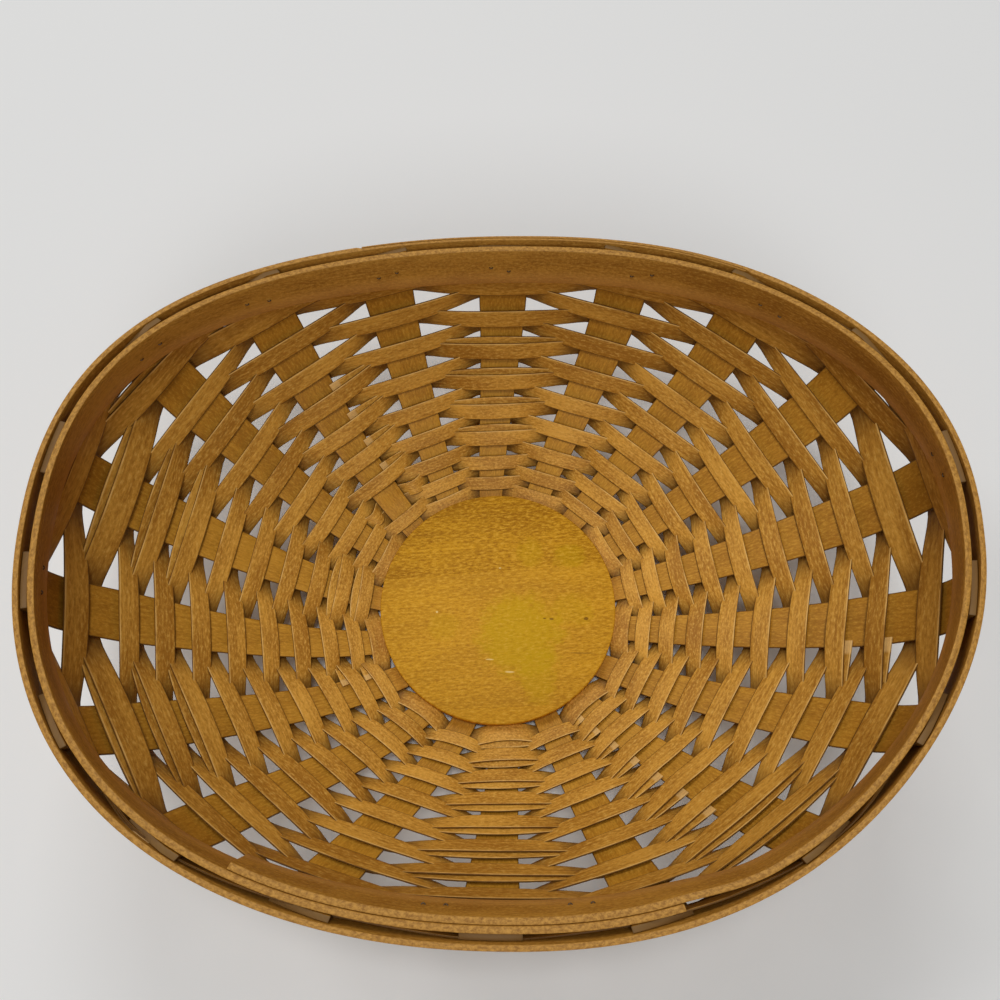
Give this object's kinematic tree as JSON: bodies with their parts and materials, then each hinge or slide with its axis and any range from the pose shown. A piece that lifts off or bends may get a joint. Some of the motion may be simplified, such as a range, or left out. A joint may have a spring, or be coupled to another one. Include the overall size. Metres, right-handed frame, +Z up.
{
  "type": "oval splint basket",
  "caption": "Oval open basket woven from flat wood splints over flat spokes, with a round wooden base board and a bent double band clasping the rim.",
  "frame": {"origin": "centre of the foot board's underside, where the basket rests", "axes": "+X along the rim's long axis, +Y along its short axis, +Z up out of the basket"},
  "size_m": [0.4172, 0.3269, 0.1341],
  "materials": {
    "board": "oiled maple, satin",
    "band": "oiled maple splint, satin",
    "spoke": "oiled maple splint, satin",
    "weaver": "oiled maple splint, satin"
  },
  "bodies": {
    "root": {"base_board": "board", "foot_board": "board", "inner_band": "band", "outer_band": "band", "spoke_01": "spoke", "spoke_02": "spoke", "spoke_03": "spoke", "spoke_04": "spoke", "spoke_05": "spoke", "spoke_06": "spoke", "spoke_07": "spoke", "spoke_08": "spoke", "spoke_09": "spoke", "spoke_10": "spoke", "spoke_11": "spoke", "spoke_12": "spoke", "spoke_13": "spoke", "spoke_14": "spoke", "spoke_15": "spoke", "spoke_16": "spoke", "spoke_17": "spoke", "spoke_18": "spoke", "weaver_01": "weaver", "weaver_02": "weaver", "weaver_03": "weaver", "weaver_04": "weaver", "weaver_05": "weaver", "weaver_06": "weaver", "weaver_07": "weaver", "weaver_08": "weaver", "weaver_09": "weaver", "weaver_10": "weaver", "weaver_11": "weaver", "weaver_12": "weaver", "weaver_13": "weaver", "weaver_14": "weaver", "weaver_15": "weaver", "weaver_16": "weaver", "weaver_17": "weaver", "weaver_18": "weaver", "weaver_19": "weaver", "weaver_20": "weaver"}
  },
  "joints": []
}
